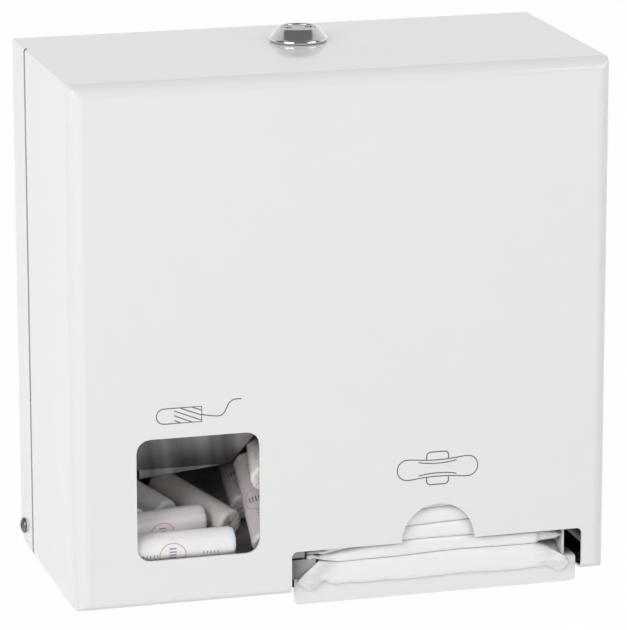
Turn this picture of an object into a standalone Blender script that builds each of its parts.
"""Wall-hung tampon and pad dispenser in folded sheet steel.

Metres, +Z up. The front faces -Y and the wall is the plane y = 0. The origin is the middle of the
wall face. The cover swings forward and down on two screws at its lower rear corners, and a cam lock
in its top holds it shut.
"""
import math

import bmesh
import bpy
from mathutils import Matrix, Vector

# Sheet metal and running clearances
COVER_SHEET = 0.0012
BACK_SHEET = 0.0012
INNER_SHEET = 0.0010
KEEPER_SHEET = 0.0015
SEAT_GAP = 0.0003
COVER_PLAY = 0.0004
CUT_OVERRUN = 0.003
BEND_RADIUS = 0.0015
MERGE_DISTANCE = 0.00001

# Wrapped pads and the magazine that is built round them
PAD_LENGTH = 0.1175
PAD_DEPTH = 0.090
PAD_THICKNESS = 0.0069
PAD_COUNT = 8
PAD_EDGE_RADIUS = 0.0022
PAD_SEAL_WIDTH = 0.005
PAD_SEAL_TAPER = 0.010
PAD_SEAL_THICKNESS = 0.0014
PAD_SEAL_DRAW = 0.003
PAD_SETBACK = 0.0012
PAD_REAR_ROOM = 0.0226
MAGAZINE_HEIGHT = 0.169
TRAY_OVERHANG = 0.0046
TRAY_LIP_DROP = 0.0117
TRAY_LIP_SETBACK = 0.003
TRAY_CORNER_RADIUS = 0.0022
TRAY_ABOVE_EDGE = 0.0059
TRAY_UPSTAND = 0.010
BASE_UPSTAND = 0.009
BASE_TO_COVER = 0.009
BASE_LIP_DROP = 0.0043

# Wrapped tampons and their bin
TAMPON_DIAMETER = 0.0135
TAMPON_LENGTH = 0.050
BIN_WIDTH_SHARE = 6.874
BIN_WIDTH = TAMPON_DIAMETER * BIN_WIDTH_SHARE
BIN_WALL_TOP = 0.175
CHUTE_SLOPE = math.radians(10.4)
CHUTE_FLOOR_DEPTH = 0.082
RAMP_SLOPE = math.radians(45)
CHUTE_UPSTAND = 0.010
SILL_DROP = 0.005
SHEET_EDGE_SETBACK = 0.0006
BAFFLE_RISE = 0.003
BAFFLE_SLOPE = math.radians(30.3)
BAFFLE_LENGTH = 0.0687
BAFFLE_GAP = 0.0183
BAFFLE_FLANGE = 0.010
BAFFLE_CORNER_RADIUS = 0.004

# Case
CASE_HEIGHT = 0.230
HINGE_ROOM = 0.0082
SLOT_TO_SIDE = 0.0112
SLOT_CLEARANCE = 0.0018
FRONT_RADIUS = 0.006
BOTTOM_RADIUS = 0.003
EDGE_RADIUS = 0.0015
BOTTOM_RETURN = 0.008
FOLD_SEGMENTS = 3

MAGAZINE_INNER = PAD_LENGTH + 2 * SEAT_GAP
TRAY_WIDTH = MAGAZINE_INNER + 2 * (INNER_SHEET + TRAY_OVERHANG)
SLOT_WIDTH = TRAY_WIDTH + 2 * SLOT_CLEARANCE
MAGAZINE_TO_SIDE = SLOT_TO_SIDE + SLOT_WIDTH / 2
CASE_DEPTH = COVER_SHEET + PAD_SETBACK + PAD_DEPTH + PAD_REAR_ROOM
BIN_PART = COVER_SHEET + HINGE_ROOM + BIN_WIDTH + INNER_SHEET
CASE_WIDTH = BIN_PART + MAGAZINE_INNER / 2 + MAGAZINE_TO_SIDE
HALF_WIDTH = CASE_WIDTH / 2
TOP_Z = CASE_HEIGHT / 2
BOTTOM_Z = -CASE_HEIGHT / 2
FRONT_Y = -CASE_DEPTH
COVER_INNER_Y = FRONT_Y + COVER_SHEET
COVER_INNER_X = HALF_WIDTH - COVER_SHEET
REAR_SEAT_Y = -BACK_SHEET - SEAT_GAP

# Openings in the cover
WINDOW_TO_SIDE = 0.027
WINDOW_SILL = 0.0205
WINDOW_SIZE = 0.0545
WINDOW_RADIUS = 0.006
SLOT_HEIGHT = 0.0192
SLOT_RADIUS = 0.0025
NOTCH_RADIUS = 0.0167
LEVEL_SLOT_WIDTH = 0.003
LEVEL_SLOT_LENGTH = 0.1025
LEVEL_SLOT_BASE = 0.071
LEVEL_SLOT_TO_WALL = 0.025
LEVEL_SLOT_INNER_WIDTH = 0.007

# Hinge
HINGE_TO_WALL = 0.008
HINGE_TO_EDGE = 0.008
SCREW_RADIUS = 0.002
SCREW_HEAD_RADIUS = 0.0036
SCREW_HEAD_HEIGHT = 0.0018
SCREW_SOCKET_RADIUS = 0.00125
SCREW_SOCKET_DEPTH = 0.0011
SCREW_DOME_SHARES = ((0.62, 0.94), (0.90, 0.55))
BUSH_WALL = 0.0006
NUT_THICKNESS = 0.0032
NUT_ACROSS_FLATS = 0.007
BACK_FLANGE = 0.018
WALL_SCREW_HOLE_RADIUS = 0.0035
WALL_SCREW_HOLE_X = 0.070
WALL_SCREW_HOLE_TOP_Z = 0.090
WALL_SCREW_HOLE_LOWER_Z = -0.020

# Lock
LOCK_TO_WALL = 0.0395
LOCK_BEZEL_RADIUS = 0.0130
LOCK_BEZEL_HEIGHT = 0.0064
LOCK_BEZEL_RIM = 0.0016
LOCK_TOP_RADIUS = 0.0088
LOCK_BARREL_RADIUS = 0.0095
LOCK_BARREL_LENGTH = 0.018
LOCK_PLUG_RADIUS = 0.0074
LOCK_FACE_SINK = 0.0004
LOCK_TAIL_RADIUS = 0.003
LOCK_TAIL_LENGTH = 0.007
LOCK_NUT_ACROSS_FLATS = 0.024
LOCK_NUT_THICKNESS = 0.004
KEY_NOTCH_WIDTH = 0.0014
KEY_NOTCH_LENGTH = 0.0032
KEY_NOTCH_DEPTH = 0.0012
CAM_LENGTH = 0.024
CAM_WIDTH = 0.010
CAM_THICKNESS = 0.002
CAM_ROUND_SHARE = 0.46
CAM_NUT_THICKNESS = 0.003
CAM_NUT_ACROSS_FLATS = 0.008
KEEPER_RUN_GAP = 0.003
KEEPER_PLAY = 0.001
KEEPER_SIDE_GAP = 0.0025
KEEPER_WIDTH = 0.018
KEEPER_FOOT = 0.0123
KEEPER_LIP = 0.0065
KEEPER_RIVET_DROP = 0.0045

# Rivets
RIVET_RADIUS = 0.00125
RIVET_HEAD_RADIUS = 0.0024
RIVET_HEAD_HEIGHT = 0.001
RIVET_TOP_SHARE = 0.6
RIVET_INSET = 0.0060
RIVET_DROP = 0.003
KEEPER_RIVET_SHARES = (0.25, 0.75)
TRAY_RIVET_SHARES = (-0.35, 0, 0.35)
BASE_RIVET_SHARES = (-0.40, -0.16)
WALL_RIVET_SHARES = (0.15, 0.55, 0.95)
CHUTE_RIVET_SHARES = (0.15, 0.85)
BAFFLE_RIVET_SHARES = (0.2, 0.8)

# Facets of round pieces
SMALL_SIDES = 12
TAMPON_SIDES = 14
TURNED_SIDES = 20
LOCK_SIDES = 32
NOTCH_SIDES = 40
TAMPON_CAP_RINGS = 4

# Each lying tampon as the two ends of its axis, in tampon diameters: across from the partition,
# back from the cover's front, and up from where it would rest on the chute.
TAMPON_PLACE_SHARES = (
    ((2.76, 0.53, 0.00), (5.46, 0.53, 0.00)),
    ((3.43, 1.84, 0.17), (6.10, 1.42, 0.21)),
    ((4.17, 3.06, 0.02), (5.35, 5.43, 0.06)),
    ((5.27, 2.62, 0.00), (6.33, 5.10, 0.02)),
    ((2.26, 2.06, 0.00), (3.46, 4.44, 0.04)),
    ((1.22, 0.60, 0.18), (1.08, 2.83, 1.12)),
    ((1.23, 3.20, 0.00), (0.93, 5.80, 0.05)),
    ((1.20, 0.53, 2.20), (0.67, 3.16, 2.25)),
)


def clear_scene():
    for obj in list(bpy.data.objects):
        bpy.data.objects.remove(obj, do_unlink=True)


def new_collection(name):
    collection = bpy.data.collections.new(name)
    bpy.context.scene.collection.children.link(collection)
    return collection


clear_scene()
parts = new_collection("tampon_and_pad_dispenser")
cutters = new_collection("cutters")


def material(name, color, roughness, metallic):
    mat = bpy.data.materials.new(name)
    mat.use_nodes = True
    shader = mat.node_tree.nodes["Principled BSDF"]
    shader.inputs["Base Color"].default_value = (*color, 1.0)
    shader.inputs["Roughness"].default_value = roughness
    shader.inputs["Metallic"].default_value = metallic
    mat.diffuse_color = (*color, 1.0)
    return mat


white_paint = material("white_powder_coat", (0.86, 0.86, 0.86), 0.45, 0.0)
bare_steel = material("brushed_steel", (0.32, 0.32, 0.31), 0.40, 1.0)
zinc_steel = material("zinc_plated_steel", (0.48, 0.48, 0.47), 0.35, 1.0)
chrome = material("chrome", (0.62, 0.62, 0.63), 0.12, 1.0)
satin_face = material("satin_nickel", (0.50, 0.50, 0.50), 0.38, 1.0)
dark_steel = material("dark_steel", (0.14, 0.14, 0.14), 0.40, 1.0)
nylon = material("natural_nylon", (0.75, 0.74, 0.70), 0.50, 0.0)
pad_film = material("pad_wrapper_film", (0.88, 0.88, 0.88), 0.50, 0.0)
tampon_film = material("tampon_wrapper_film", (0.84, 0.80, 0.79), 0.30, 0.0)


def add_object(name, mesh, mat, parent=None):
    """Link a finished mesh as one named piece."""
    obj = bpy.data.objects.new(name, mesh)
    parts.objects.link(obj)
    obj.data.materials.clear()
    obj.data.materials.append(mat)
    obj.parent = parent
    return obj


def add_empty(name, location, rotation=(0, 0, 0)):
    empty = bpy.data.objects.new(name, None)
    parts.objects.link(empty)
    empty.location = location
    empty.rotation_euler = rotation
    return empty


def mesh_from(bm, name):
    mesh = bpy.data.meshes.new(name)
    bm.to_mesh(mesh)
    bm.free()
    return mesh


def shade_round(mesh, angle=math.radians(35)):
    mesh.shade_smooth()
    mesh.set_sharp_from_angle(angle=angle)


def box_mesh(name, low, high):
    """A box between two corners."""
    bm = bmesh.new()
    size = Vector(high) - Vector(low)
    middle = (Vector(high) + Vector(low)) / 2
    bmesh.ops.create_cube(bm, size=1, matrix=Matrix.Translation(middle) @ Matrix.Diagonal((*size, 1)))
    return mesh_from(bm, name)


def round_edges(mesh, axis, radius, pick=lambda middle: True, segments=4):
    """Round the edges of a mesh that run along one axis and whose middle is picked."""
    bm = bmesh.new()
    bm.from_mesh(mesh)
    edges = []
    for edge in bm.edges:
        run = (edge.verts[1].co - edge.verts[0].co).normalized()
        middle = (edge.verts[1].co + edge.verts[0].co) / 2
        if abs(run[axis]) > math.cos(math.radians(5)) and pick(middle):
            edges.append(edge)
    bmesh.ops.bevel(bm, geom=edges, offset=radius, segments=segments, affect="EDGES", profile=0.5)
    bm.to_mesh(mesh)
    bm.free()
    return mesh


def turned_mesh(name, profile, steps):
    """Turn a profile of (radius, height) points round Z with a Screw modifier."""
    bm = bmesh.new()
    verts = [bm.verts.new((radius, 0, height)) for radius, height in profile]
    pairs = list(zip(verts, verts[1:]))
    on_axis = profile[0][0] == 0
    if not on_axis:
        pairs.append((verts[-1], verts[0]))
    for first, second in pairs:
        bm.edges.new((first, second))
    obj = bpy.data.objects.new(name, mesh_from(bm, name))
    parts.objects.link(obj)
    screw = obj.modifiers.new("turn", "SCREW")
    screw.axis = "Z"
    screw.steps = steps
    screw.render_steps = steps
    screw.use_merge_vertices = True
    screw.merge_threshold = MERGE_DISTANCE
    depsgraph = bpy.context.evaluated_depsgraph_get()
    mesh = bpy.data.meshes.new_from_object(obj.evaluated_get(depsgraph))
    bpy.data.objects.remove(obj, do_unlink=True)
    shade_round(mesh)
    mesh.name = name
    return mesh


def cutter(name, mesh, parent=None):
    """A shape that only takes material away."""
    obj = bpy.data.objects.new(name, mesh)
    cutters.objects.link(obj)
    obj.parent = parent
    obj.display_type = "WIRE"
    obj.hide_render = True
    return obj


def cylinder_cutter(name, radius, start, end, sides=SMALL_SIDES, parent=None):
    """A round cutter between two points, longer than its cut by the overrun at both ends, with a
    facet and not a corner towards each axis."""
    start = Vector(start)
    end = Vector(end)
    run = end - start
    bm = bmesh.new()
    bmesh.ops.create_cone(bm, cap_ends=True, segments=sides, radius1=radius, radius2=radius,
                          depth=run.length + 2 * CUT_OVERRUN,
                          matrix=Matrix.Rotation(math.pi / sides, 4, "Z"))
    obj = cutter(name, mesh_from(bm, name), parent)
    obj.rotation_euler = run.to_track_quat("Z", "Y").to_euler()
    obj.location = (start + end) / 2
    return obj


def cut(obj, tool):
    step = obj.modifiers.new("cut", "BOOLEAN")
    step.operation = "DIFFERENCE"
    step.solver = "EXACT"
    step.object = tool


def folded_sheet(name, path, plane, start, end, thickness, mat, corners=(), parent=None,
                 left=False, bend=BEND_RADIUS):
    """Fold a strip of sheet along a path of points and give it its thickness on one side.

    The plane names the path's two axes, and the strip runs from start to end along the third.
    Corners are (point index, at start or end, radius) to round before the sheet gets thick. The
    sheet lies on the right hand of the path, or on its left.
    """
    first, second = (("XYZ").index(letter) for letter in plane)
    third = 3 - first - second
    bm = bmesh.new()
    rows = []
    for along in (start, end):
        row = []
        for a, b in path:
            point = [0, 0, 0]
            point[first] = a
            point[second] = b
            point[third] = along
            row.append(bm.verts.new(point))
        for vert_a, vert_b in zip(row, row[1:]):
            bm.edges.new((vert_a, vert_b))
        rows.append(row)
    bmesh.ops.bridge_loops(bm, edges=list(bm.edges))
    for index, at_end, radius in corners:
        vert = rows[1 if at_end else 0][index]
        bmesh.ops.bevel(bm, geom=[vert], offset=radius, segments=4, affect="VERTICES", profile=0.5)
    bm.normal_update()
    run = Vector((path[1][0] - path[0][0], path[1][1] - path[0][1]))
    side = Vector((-run.y, run.x)) if left else Vector((run.y, -run.x))
    outward = Vector((0, 0, 0))
    outward[first] = -side.x
    outward[second] = -side.y
    middle = Vector((0, 0, 0))
    middle[first] = (path[0][0] + path[1][0]) / 2
    middle[second] = (path[0][1] + path[1][1]) / 2
    middle[third] = (start + end) / 2
    face = min(bm.faces, key=lambda f: (f.calc_center_median() - middle).length)
    if face.normal.dot(outward) < 0:
        bmesh.ops.reverse_faces(bm, faces=list(bm.faces))
    obj = add_object(name, mesh_from(bm, name), mat, parent)
    folds = obj.modifiers.new("folds", "BEVEL")
    folds.limit_method = "ANGLE"
    folds.angle_limit = math.radians(20)
    folds.width = bend
    folds.segments = 2
    wall = obj.modifiers.new("wall", "SOLIDIFY")
    wall.thickness = thickness
    wall.offset = -1
    wall.use_even_offset = True
    return obj


def hex_ring(name, across_flats, bore, thickness, mat, parent=None):
    """A plain hexagon nut lying on its lower face at z = 0."""
    bm = bmesh.new()
    radius = across_flats / 2 / math.cos(math.radians(30))
    bmesh.ops.create_cone(bm, cap_ends=True, segments=6, radius1=radius, radius2=radius,
                          depth=thickness, matrix=Matrix.Translation((0, 0, thickness / 2)))
    nut = add_object(name, mesh_from(bm, name), mat, parent)
    hole = cylinder_cutter(name + "_bore", bore, (0, 0, 0), (0, 0, thickness), TURNED_SIDES)
    hole.parent = nut
    cut(nut, hole)
    return nut


# Rivets through an inner sheet and the sheet behind it

def rivet_mesh(name, inner_sheet):
    shank = SEAT_GAP + inner_sheet + BACK_SHEET
    profile = [
        (0, RIVET_HEAD_HEIGHT),
        (RIVET_HEAD_RADIUS * RIVET_TOP_SHARE, RIVET_HEAD_HEIGHT),
        (RIVET_HEAD_RADIUS, 0),
        (RIVET_RADIUS, 0),
        (RIVET_RADIUS, -shank),
        (0, -shank),
    ]
    return turned_mesh(name, profile, SMALL_SIDES)


def rivet_row(name, places, inner_sheet, toward, sheets, parent=None):
    """Identical rivets, each through a hole in every sheet. Each place is a point on the inner
    sheet's near face, and toward is the way that the heads face."""
    one = rivet_mesh(name, inner_sheet)
    toward = Vector(toward)
    for count, place in enumerate(places):
        seat = Vector(place)
        rivet = add_object(f"{name}_{count + 1}", one, zinc_steel, parent)
        rivet.location = seat + toward * SEAT_GAP
        rivet.rotation_euler = toward.to_track_quat("Z", "Y").to_euler()
        depth = SEAT_GAP + inner_sheet + SEAT_GAP + BACK_SHEET
        hole = cylinder_cutter(f"{name}_hole_{count + 1}", RIVET_RADIUS + SEAT_GAP,
                               seat, seat - toward * depth, parent=parent)
        for sheet in sheets:
            cut(sheet, hole)


# Cover: front, top and sides folded in one, with a short return along the bottom of the front

HINGE_Y = -HINGE_TO_WALL
HINGE_Z = BOTTOM_Z + HINGE_TO_EDGE
hinge_axis = add_empty("cover_hinge_axis", (0, HINGE_Y, HINGE_Z))
BUSH_RADIUS = SCREW_RADIUS + SEAT_GAP + BUSH_WALL
WINDOW_X = -HALF_WIDTH + WINDOW_TO_SIDE
WINDOW_Z = BOTTOM_Z + WINDOW_SILL
MAGAZINE_X = HALF_WIDTH - MAGAZINE_TO_SIDE
SLOT_TOP_Z = BOTTOM_Z + SLOT_HEIGHT
LEVEL_SLOT_Z = BOTTOM_Z + LEVEL_SLOT_BASE
LOCK_Y = -LOCK_TO_WALL


def place_on_hinge(obj):
    """Hang a piece on the hinge's axis without moving it in the world."""
    obj.parent = hinge_axis
    obj.matrix_parent_inverse = Matrix.Translation((0, -HINGE_Y, -HINGE_Z))


def cover_shell():
    bm = bmesh.new()
    size = (CASE_WIDTH, CASE_DEPTH, CASE_HEIGHT)
    middle = Matrix.Translation((0, FRONT_Y / 2, 0))
    bmesh.ops.create_cube(bm, size=1, matrix=middle @ Matrix.Diagonal((*size, 1)))
    return_y = FRONT_Y + BOTTOM_RETURN
    bmesh.ops.bisect_plane(bm, geom=bm.verts[:] + bm.edges[:] + bm.faces[:],
                           plane_co=(0, return_y, 0), plane_no=(0, 1, 0))
    open_faces = []
    for face in bm.faces:
        centre = face.calc_center_median()
        is_back = face.normal.y > 0.5
        is_open_bottom = face.normal.z < -0.5 and centre.y > return_y
        if is_back or is_open_bottom:
            open_faces.append(face)
    bmesh.ops.delete(bm, geom=open_faces, context="FACES")
    rear_corners = [v for v in bm.verts if v.co.y > -CUT_OVERRUN and v.co.z < 0]
    bmesh.ops.bevel(bm, geom=rear_corners, offset=HINGE_TO_WALL, segments=5, affect="VERTICES",
                    profile=0.5)
    weights = bm.edges.layers.float.new("bevel_weight_edge")
    for edge in bm.edges:
        if len(edge.link_faces) < 2 or edge.calc_face_angle() < math.radians(30):
            continue
        middle = (edge.verts[0].co + edge.verts[1].co) / 2
        run = (edge.verts[1].co - edge.verts[0].co).normalized()
        along_depth = abs(run.y) > 0.9
        on_bottom = middle.z < 0 and abs(run.z) < 0.5
        radius = EDGE_RADIUS if along_depth else (BOTTOM_RADIUS if on_bottom else FRONT_RADIUS)
        edge[weights] = radius / FRONT_RADIUS
    shell = add_object("cover", mesh_from(bm, "cover"), white_paint)
    folds = shell.modifiers.new("folds", "BEVEL")
    folds.limit_method = "WEIGHT"
    folds.width = FRONT_RADIUS
    folds.segments = FOLD_SEGMENTS
    folds.miter_outer = "MITER_SHARP"
    wall = shell.modifiers.new("wall", "SOLIDIFY")
    wall.thickness = COVER_SHEET
    wall.offset = -1
    wall.use_even_offset = True
    return shell


cover = cover_shell()
front_cut = (FRONT_Y - CUT_OVERRUN, COVER_INNER_Y + CUT_OVERRUN)

window_mesh = box_mesh("window", (WINDOW_X, front_cut[0], WINDOW_Z),
                       (WINDOW_X + WINDOW_SIZE, front_cut[1], WINDOW_Z + WINDOW_SIZE))
cut(cover, cutter("window_cut", round_edges(window_mesh, 1, WINDOW_RADIUS)))

return_end_y = FRONT_Y + BOTTOM_RETURN + CUT_OVERRUN
slot_mesh = box_mesh("slot", (MAGAZINE_X - SLOT_WIDTH / 2, front_cut[0], BOTTOM_Z - CUT_OVERRUN),
                     (MAGAZINE_X + SLOT_WIDTH / 2, return_end_y, SLOT_TOP_Z))
round_edges(slot_mesh, 1, SLOT_RADIUS, lambda middle: middle.z > BOTTOM_Z)
cut(cover, cutter("slot_cut", slot_mesh))

cut(cover, cylinder_cutter("notch_cut", NOTCH_RADIUS, (MAGAZINE_X, FRONT_Y, SLOT_TOP_Z),
                           (MAGAZINE_X, COVER_INNER_Y, SLOT_TOP_Z), NOTCH_SIDES))

level_y = -LEVEL_SLOT_TO_WALL
cut(cover, cutter("level_slot_cut", box_mesh(
    "level_slot",
    (-HALF_WIDTH - CUT_OVERRUN, level_y - LEVEL_SLOT_WIDTH / 2, LEVEL_SLOT_Z),
    (HALF_WIDTH + CUT_OVERRUN, level_y + LEVEL_SLOT_WIDTH / 2, LEVEL_SLOT_Z + LEVEL_SLOT_LENGTH))))

cut(cover, cylinder_cutter("lock_hole", LOCK_BARREL_RADIUS + SEAT_GAP, (0, LOCK_Y, TOP_Z - COVER_SHEET),
                           (0, LOCK_Y, TOP_Z), TURNED_SIDES))
cut(cover, cylinder_cutter("hinge_holes", BUSH_RADIUS + SEAT_GAP, (-HALF_WIDTH, HINGE_Y, HINGE_Z),
                           (HALF_WIDTH, HINGE_Y, HINGE_Z), TURNED_SIDES))
place_on_hinge(cover)


# Back panel: the wall plate, with side flanges that carry the hinge

BACK_X = COVER_INNER_X - COVER_PLAY
BACK_TOP_Z = TOP_Z - COVER_SHEET - COVER_PLAY
EAR_RADIUS = HINGE_TO_EDGE - COVER_PLAY

back_panel = folded_sheet(
    "back_panel",
    [(-BACK_X, -BACK_FLANGE), (-BACK_X, 0), (BACK_X, 0), (BACK_X, -BACK_FLANGE)],
    "XY", HINGE_Z - EAR_RADIUS, BACK_TOP_Z, BACK_SHEET, white_paint,
    corners=[(0, False, EAR_RADIUS), (3, False, EAR_RADIUS)])

ear_cut = cutter("ear_cut", box_mesh(
    "ear_cut", (-HALF_WIDTH, HINGE_Y, HINGE_Z - EAR_RADIUS - CUT_OVERRUN),
    (HALF_WIDTH, CUT_OVERRUN, HINGE_Z)))
for sign in (-1, 1):
    cut(ear_cut, cylinder_cutter("ear_round", EAR_RADIUS, (sign * (BACK_X - BACK_SHEET), HINGE_Y, HINGE_Z),
                                 (sign * HALF_WIDTH, HINGE_Y, HINGE_Z), TURNED_SIDES))
cut(back_panel, ear_cut)
cut(back_panel, cylinder_cutter("hinge_screw_holes", SCREW_RADIUS + SEAT_GAP,
                                (-HALF_WIDTH, HINGE_Y, HINGE_Z), (HALF_WIDTH, HINGE_Y, HINGE_Z)))

for hole_x in (-WALL_SCREW_HOLE_X, WALL_SCREW_HOLE_X):
    for hole_z in (WALL_SCREW_HOLE_LOWER_Z, WALL_SCREW_HOLE_TOP_Z):
        cut(back_panel, cylinder_cutter("wall_screw_hole", WALL_SCREW_HOLE_RADIUS,
                                        (hole_x, -BACK_SHEET, hole_z), (hole_x, 0, hole_z),
                                        TURNED_SIDES))


# Hinge screws, bushes and nuts, one set at each side

NUT_SEAT_X = BACK_X - BACK_SHEET - SEAT_GAP
SCREW_END_X = NUT_SEAT_X - NUT_THICKNESS - SEAT_GAP
screw_length = HALF_WIDTH + SEAT_GAP - SCREW_END_X
screw_profile = [
    (0, SCREW_HEAD_HEIGHT - SCREW_SOCKET_DEPTH),
    (SCREW_SOCKET_RADIUS, SCREW_HEAD_HEIGHT - SCREW_SOCKET_DEPTH),
    (SCREW_SOCKET_RADIUS, SCREW_HEAD_HEIGHT),
    *((SCREW_HEAD_RADIUS * out, SCREW_HEAD_HEIGHT * up) for out, up in SCREW_DOME_SHARES),
    (SCREW_HEAD_RADIUS, 0),
    (SCREW_RADIUS, 0),
    (SCREW_RADIUS, -screw_length),
    (0, -screw_length),
]
bush_length = HALF_WIDTH - BACK_X - SEAT_GAP
bush_profile = [
    (BUSH_RADIUS, 0),
    (BUSH_RADIUS, -bush_length),
    (SCREW_RADIUS + SEAT_GAP, -bush_length),
    (SCREW_RADIUS + SEAT_GAP, 0),
]

for side, sign in (("left", -1), ("right", 1)):
    facing = (0, sign * math.radians(90), 0)
    screw = add_object(f"hinge_screw_{side}", turned_mesh("hinge_screw", screw_profile, TURNED_SIDES),
                       dark_steel)
    screw.location = (sign * (HALF_WIDTH + SEAT_GAP), HINGE_Y, HINGE_Z)
    screw.rotation_euler = facing
    bush = add_object(f"hinge_bush_{side}", turned_mesh("hinge_bush", bush_profile, TURNED_SIDES),
                      nylon)
    bush.location = (sign * HALF_WIDTH, HINGE_Y, HINGE_Z)
    bush.rotation_euler = facing
    nut = hex_ring(f"hinge_nut_{side}", NUT_ACROSS_FLATS, SCREW_RADIUS + SEAT_GAP, NUT_THICKNESS,
                   zinc_steel)
    nut.location = (sign * (NUT_SEAT_X - NUT_THICKNESS), HINGE_Y, HINGE_Z)
    nut.rotation_euler = facing


# Lock: housing with its bezel, the nut under the cover's top, the turning plug and its cam

lock_axis = add_empty("lock_axis", (0, LOCK_Y, TOP_Z))
PLUG_BORE = LOCK_PLUG_RADIUS + SEAT_GAP
housing_profile = [
    (PLUG_BORE, LOCK_BEZEL_HEIGHT),
    (LOCK_TOP_RADIUS, LOCK_BEZEL_HEIGHT),
    (LOCK_BEZEL_RADIUS, LOCK_BEZEL_RIM),
    (LOCK_BEZEL_RADIUS, SEAT_GAP),
    (LOCK_BARREL_RADIUS, SEAT_GAP),
    (LOCK_BARREL_RADIUS, -LOCK_BARREL_LENGTH),
    (PLUG_BORE, -LOCK_BARREL_LENGTH),
]
lock_housing = add_object("lock_housing", turned_mesh("lock_housing", housing_profile, LOCK_SIDES),
                          chrome, lock_axis)

lock_nut = hex_ring("lock_nut", LOCK_NUT_ACROSS_FLATS, LOCK_BARREL_RADIUS + SEAT_GAP,
                    LOCK_NUT_THICKNESS, zinc_steel, lock_axis)
lock_nut.location = (0, 0, -COVER_SHEET - SEAT_GAP - LOCK_NUT_THICKNESS)

face_z = LOCK_BEZEL_HEIGHT - LOCK_FACE_SINK
plug_profile = [
    (0, face_z),
    (LOCK_PLUG_RADIUS, face_z),
    (LOCK_PLUG_RADIUS, -LOCK_BARREL_LENGTH),
    (LOCK_TAIL_RADIUS, -LOCK_BARREL_LENGTH),
    (LOCK_TAIL_RADIUS, -LOCK_BARREL_LENGTH - LOCK_TAIL_LENGTH),
    (0, -LOCK_BARREL_LENGTH - LOCK_TAIL_LENGTH),
]
lock_plug = add_object("lock_plug", turned_mesh("lock_plug", plug_profile, LOCK_SIDES), satin_face,
                       lock_axis)
for sign in (-1, 1):
    notch_x = sign * (LOCK_PLUG_RADIUS / 2)
    notch = cutter("key_notch", box_mesh(
        "key_notch",
        (notch_x - KEY_NOTCH_LENGTH / 2, -KEY_NOTCH_WIDTH / 2, face_z - KEY_NOTCH_DEPTH),
        (notch_x + KEY_NOTCH_LENGTH / 2, KEY_NOTCH_WIDTH / 2, face_z + CUT_OVERRUN)), lock_axis)
    cut(lock_plug, notch)

CAM_TOP = -LOCK_BARREL_LENGTH - SEAT_GAP
cam_mesh = box_mesh("lock_cam", (-CAM_WIDTH / 2, -CAM_WIDTH / 2, CAM_TOP - CAM_THICKNESS),
                    (CAM_WIDTH / 2, CAM_LENGTH, CAM_TOP))
round_edges(cam_mesh, 2, CAM_WIDTH * CAM_ROUND_SHARE, segments=4)
lock_cam = add_object("lock_cam", cam_mesh, zinc_steel, lock_axis)
cut(lock_cam, cylinder_cutter("cam_hole", LOCK_TAIL_RADIUS + SEAT_GAP, (0, 0, CAM_TOP - CAM_THICKNESS),
                              (0, 0, CAM_TOP), TURNED_SIDES, lock_axis))

cam_nut = hex_ring("cam_nut", CAM_NUT_ACROSS_FLATS, LOCK_TAIL_RADIUS + SEAT_GAP, CAM_NUT_THICKNESS,
                   zinc_steel, lock_axis)
cam_nut.location = (0, 0, CAM_TOP - CAM_THICKNESS - SEAT_GAP - CAM_NUT_THICKNESS)


# Latch keeper: a bracket on the back panel whose lip hangs in front of the turned cam

keeper_start = LOCK_BARREL_RADIUS + KEEPER_SIDE_GAP
keeper_under_z = TOP_Z + CAM_TOP + KEEPER_RUN_GAP
lip_y = LOCK_Y - CAM_WIDTH / 2 - KEEPER_PLAY
latch_keeper = folded_sheet(
    "latch_keeper",
    [(REAR_SEAT_Y, keeper_under_z + KEEPER_FOOT), (REAR_SEAT_Y, keeper_under_z),
     (lip_y, keeper_under_z), (lip_y, keeper_under_z - KEEPER_LIP)],
    "YZ", keeper_start, keeper_start + KEEPER_WIDTH, KEEPER_SHEET, zinc_steel)
keeper_rivet_z = keeper_under_z + KEEPER_FOOT - KEEPER_RIVET_DROP
keeper_rivet_y = REAR_SEAT_Y - KEEPER_SHEET
rivet_row("keeper_rivet",
          [(keeper_start + share * KEEPER_WIDTH, keeper_rivet_y, keeper_rivet_z)
           for share in KEEPER_RIVET_SHARES],
          KEEPER_SHEET, (0, -1, 0), [latch_keeper, back_panel])


# Pad tray: floor, lip folded down in front, upstand riveted to the back panel

TRAY_Z = BOTTOM_Z + TRAY_ABOVE_EDGE
TRAY_FRONT_Y = FRONT_Y + TRAY_LIP_SETBACK
tray_rear_y = REAR_SEAT_Y - INNER_SHEET
pad_tray = folded_sheet(
    "pad_tray",
    [(TRAY_FRONT_Y, TRAY_Z - TRAY_LIP_DROP), (TRAY_FRONT_Y, TRAY_Z), (tray_rear_y, TRAY_Z),
     (tray_rear_y, TRAY_Z + TRAY_UPSTAND)],
    "YZ", MAGAZINE_X - TRAY_WIDTH / 2, MAGAZINE_X + TRAY_WIDTH / 2, INNER_SHEET, white_paint,
    corners=[(0, False, TRAY_CORNER_RADIUS), (0, True, TRAY_CORNER_RADIUS)])
rivet_row("tray_rivet",
          [(MAGAZINE_X + share * TRAY_WIDTH, tray_rear_y, TRAY_Z + TRAY_UPSTAND - RIVET_DROP)
           for share in TRAY_RIVET_SHARES],
          INNER_SHEET, (0, -1, 0), [pad_tray, back_panel])


# Base plate: closes the case from below between the back panel's flanges

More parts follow.
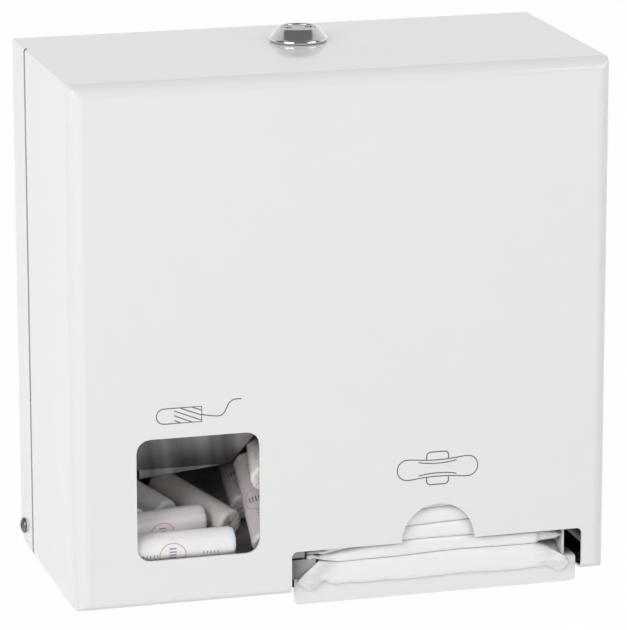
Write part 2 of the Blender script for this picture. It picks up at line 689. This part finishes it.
base_z = TRAY_Z - INNER_SHEET - SEAT_GAP
base_x = BACK_X - BACK_SHEET - SEAT_GAP
nut_room = NUT_ACROSS_FLATS / 2 / math.cos(math.radians(30)) + SEAT_GAP
base_plate = folded_sheet(
    "base_plate",
    [(FRONT_Y + BASE_TO_COVER, base_z - BASE_LIP_DROP), (FRONT_Y + BASE_TO_COVER, base_z),
     (tray_rear_y, base_z), (tray_rear_y, base_z + BASE_UPSTAND)],
    "YZ", -base_x, base_x, INNER_SHEET, bare_steel)
for sign in (-1, 1):
    edge_x = sorted((sign * HALF_WIDTH, sign * (SCREW_END_X - SEAT_GAP)))
    cut(base_plate, cutter("nut_notch", box_mesh(
        "nut_notch", (edge_x[0], HINGE_Y - nut_room, BOTTOM_Z),
        (edge_x[1], CUT_OVERRUN, base_z + BASE_UPSTAND + CUT_OVERRUN))))
cut(base_plate, cutter("tray_notch", box_mesh(
    "tray_notch", (MAGAZINE_X - TRAY_WIDTH / 2 - SEAT_GAP, tray_rear_y - BEND_RADIUS, BOTTOM_Z),
    (HALF_WIDTH, CUT_OVERRUN, base_z + BASE_UPSTAND + CUT_OVERRUN))))
rivet_row("base_rivet",
          [(share * CASE_WIDTH, tray_rear_y, base_z + BASE_UPSTAND - RIVET_DROP)
           for share in BASE_RIVET_SHARES],
          INNER_SHEET, (0, -1, 0), [base_plate, back_panel])


# Partition between the bin and the magazine, and the magazine's right wall

SHEET_FRONT_Y = COVER_INNER_Y + SHEET_EDGE_SETBACK
WALL_FLANGE = RIVET_INSET + RIVET_HEAD_RADIUS
magazine_top_z = TRAY_Z + MAGAZINE_HEIGHT
wall_base_z = TRAY_Z + SEAT_GAP
partition_x = MAGAZINE_X - MAGAZINE_INNER / 2 - INNER_SHEET
magazine_side_x = MAGAZINE_X + MAGAZINE_INNER / 2
magazine_front_y = TRAY_FRONT_Y + INNER_SHEET + EDGE_RADIUS

centre_partition = folded_sheet(
    "centre_partition",
    [(partition_x, magazine_front_y), (partition_x, REAR_SEAT_Y),
     (partition_x + INNER_SHEET + WALL_FLANGE, REAR_SEAT_Y)],
    "XY", wall_base_z, magazine_top_z, INNER_SHEET, bare_steel)
magazine_side = folded_sheet(
    "magazine_side",
    [(magazine_side_x, magazine_front_y), (magazine_side_x, REAR_SEAT_Y),
     (magazine_side_x + INNER_SHEET + WALL_FLANGE, REAR_SEAT_Y)],
    "XY", wall_base_z, magazine_top_z, INNER_SHEET, white_paint)

upstand_cut = cutter("upstand_cut", box_mesh(
    "upstand_cut",
    (MAGAZINE_X - TRAY_WIDTH / 2 - SEAT_GAP, tray_rear_y - BEND_RADIUS, TRAY_Z - CUT_OVERRUN),
    (MAGAZINE_X + TRAY_WIDTH / 2 + WALL_FLANGE, CUT_OVERRUN, TRAY_Z + TRAY_UPSTAND + SEAT_GAP)))
cut(centre_partition, upstand_cut)
cut(magazine_side, upstand_cut)
wall_rivet_y = REAR_SEAT_Y - INNER_SHEET
for rivets, wall, wall_x in (("partition_rivet", centre_partition, partition_x),
                             ("magazine_rivet", magazine_side, magazine_side_x)):
    rivet_row(rivets,
              [(wall_x + INNER_SHEET + RIVET_INSET, wall_rivet_y, TRAY_Z + share * MAGAZINE_HEIGHT)
               for share in WALL_RIVET_SHARES],
              INNER_SHEET, (0, -1, 0), [wall, back_panel])


# Tampon bin: its left wall, the chute that the tampons roll down and the baffle over it

BIN_RIGHT_X = partition_x
BIN_LEFT_X = BIN_RIGHT_X - BIN_WIDTH
bin_flange = HINGE_ROOM - COVER_PLAY - BACK_SHEET - INNER_SHEET - SEAT_GAP
CHUTE_FRONT_Z = WINDOW_Z - SILL_DROP


def chute_height(y):
    """Height of the chute's floor at a place behind the cover's front."""
    return CHUTE_FRONT_Z + (y - FRONT_Y) * math.tan(CHUTE_SLOPE)


bin_side = folded_sheet(
    "bin_side",
    [(BIN_LEFT_X, SHEET_FRONT_Y), (BIN_LEFT_X, REAR_SEAT_Y),
     (BIN_LEFT_X - INNER_SHEET - bin_flange, REAR_SEAT_Y)],
    "XY", HINGE_Z + NUT_ACROSS_FLATS, HINGE_Z + NUT_ACROSS_FLATS + BIN_WALL_TOP, INNER_SHEET,
    bare_steel, left=True)
rivet_row("bin_rivet",
          [(BIN_LEFT_X - INNER_SHEET - bin_flange / 2, wall_rivet_y,
            HINGE_Z + share * BIN_WALL_TOP) for share in WALL_RIVET_SHARES],
          INNER_SHEET, (0, -1, 0), [bin_side, back_panel])

for wall in (bin_side, magazine_side):
    cut(wall, cutter(wall.name + "_level_slot", box_mesh(
        "inner_level_slot",
        (-HALF_WIDTH, level_y - LEVEL_SLOT_INNER_WIDTH / 2, LEVEL_SLOT_Z),
        (HALF_WIDTH, level_y + LEVEL_SLOT_INNER_WIDTH / 2, LEVEL_SLOT_Z + LEVEL_SLOT_LENGTH))))

ramp_start_y = FRONT_Y + CHUTE_FLOOR_DEPTH
chute_rear_y = REAR_SEAT_Y - INNER_SHEET
ramp_top_z = chute_height(ramp_start_y) + (chute_rear_y - ramp_start_y) * math.tan(RAMP_SLOPE)
chute_lip_y = SHEET_FRONT_Y + INNER_SHEET
tampon_chute = folded_sheet(
    "tampon_chute",
    [(chute_lip_y, WINDOW_Z - SEAT_GAP), (chute_lip_y, chute_height(chute_lip_y)),
     (ramp_start_y, chute_height(ramp_start_y)), (chute_rear_y, ramp_top_z),
     (chute_rear_y, ramp_top_z + CHUTE_UPSTAND)],
    "YZ", BIN_LEFT_X + SEAT_GAP, BIN_RIGHT_X - SEAT_GAP, INNER_SHEET, bare_steel,
    bend=INNER_SHEET)
rivet_row("chute_rivet",
          [(BIN_LEFT_X + share * BIN_WIDTH, chute_rear_y, ramp_top_z + CHUTE_UPSTAND - RIVET_DROP)
           for share in CHUTE_RIVET_SHARES],
          INNER_SHEET, (0, -1, 0), [tampon_chute, back_panel])

baffle_frame = add_empty(
    "baffle_frame",
    (BIN_LEFT_X + SEAT_GAP, COVER_INNER_Y + SEAT_GAP, WINDOW_Z + WINDOW_SIZE + BAFFLE_RISE),
    (-BAFFLE_SLOPE, 0, 0))
baffle_width = BIN_WIDTH - SEAT_GAP - BAFFLE_GAP
tampon_baffle = folded_sheet(
    "tampon_baffle",
    [(0, BAFFLE_FLANGE), (0, 0), (baffle_width, 0)],
    "XZ", 0, BAFFLE_LENGTH, INNER_SHEET, bare_steel,
    corners=[(2, True, BAFFLE_CORNER_RADIUS)], parent=baffle_frame, left=True)
rivet_row("baffle_rivet",
          [(INNER_SHEET, share * BAFFLE_LENGTH, BAFFLE_FLANGE - RIVET_DROP)
           for share in BAFFLE_RIVET_SHARES],
          INNER_SHEET, (1, 0, 0), [tampon_baffle, bin_side], baffle_frame)


# Stack of wrapped pads: flat pouches whose ends are drawn in to a seal

def pad_mesh():
    bm = bmesh.new()
    size = (PAD_LENGTH, PAD_DEPTH, PAD_THICKNESS)
    bmesh.ops.create_cube(bm, size=1, matrix=Matrix.Diagonal((*size, 1)))
    seal_x = PAD_LENGTH / 2 - PAD_SEAL_WIDTH
    for cut_x in (seal_x, seal_x - PAD_SEAL_TAPER):
        for sign in (-1, 1):
            bmesh.ops.bisect_plane(bm, geom=bm.verts[:] + bm.edges[:] + bm.faces[:],
                                   plane_co=(sign * cut_x, 0, 0), plane_no=(1, 0, 0))
    flat = PAD_SEAL_THICKNESS / PAD_THICKNESS
    drawn = 1 - 2 * PAD_SEAL_DRAW / PAD_DEPTH
    for vert in bm.verts:
        if abs(vert.co.x) > seal_x - PAD_SEAL_TAPER / 2:
            vert.co.z *= flat
            vert.co.y *= drawn
    mesh = mesh_from(bm, "pad")
    middle = PAD_LENGTH / 2 - PAD_SEAL_WIDTH - PAD_SEAL_TAPER
    round_edges(mesh, 0, PAD_EDGE_RADIUS, lambda point: abs(point.x) < middle, segments=3)
    shade_round(mesh, math.radians(50))
    return mesh


pad = pad_mesh()
pad_y = COVER_INNER_Y + PAD_SETBACK + PAD_DEPTH / 2
for count in range(PAD_COUNT):
    pouch = add_object(f"pad_{count + 1}", pad, pad_film)
    rise = SEAT_GAP + PAD_THICKNESS / 2 + count * (PAD_THICKNESS + SEAT_GAP)
    pouch.location = (MAGAZINE_X, pad_y, TRAY_Z + rise)


# Loose heap of wrapped tampons on the chute

tampon_radius = TAMPON_DIAMETER / 2
tampon_profile = []
for ring in range(TAMPON_CAP_RINGS + 1):
    angle = math.radians(90) * ring / TAMPON_CAP_RINGS
    tampon_profile.append((tampon_radius * math.sin(angle),
                           TAMPON_LENGTH / 2 - tampon_radius * (1 - math.cos(angle))))
tampon_profile[0] = (0, TAMPON_LENGTH / 2)
tampon_profile += [(radius, -height) for radius, height in reversed(tampon_profile)]
tampon = turned_mesh("tampon", tampon_profile, TAMPON_SIDES)


def tampon_point(shares):
    """A point of a tampon's axis from its shares of a tampon's diameter."""
    across, back, up = (share * TAMPON_DIAMETER for share in shares)
    y = COVER_INNER_Y + back
    rest = (tampon_radius + SEAT_GAP) / math.cos(CHUTE_SLOPE)
    return Vector((BIN_RIGHT_X - across, y, chute_height(y) + rest + up))


for count, ends in enumerate(TAMPON_PLACE_SHARES):
    near = tampon_point(ends[0])
    far = tampon_point(ends[1])
    roll = add_object(f"tampon_{count + 1}", tampon, tampon_film)
    roll.location = (near + far) / 2
    roll.rotation_euler = (far - near).to_track_quat("Z", "Y").to_euler()
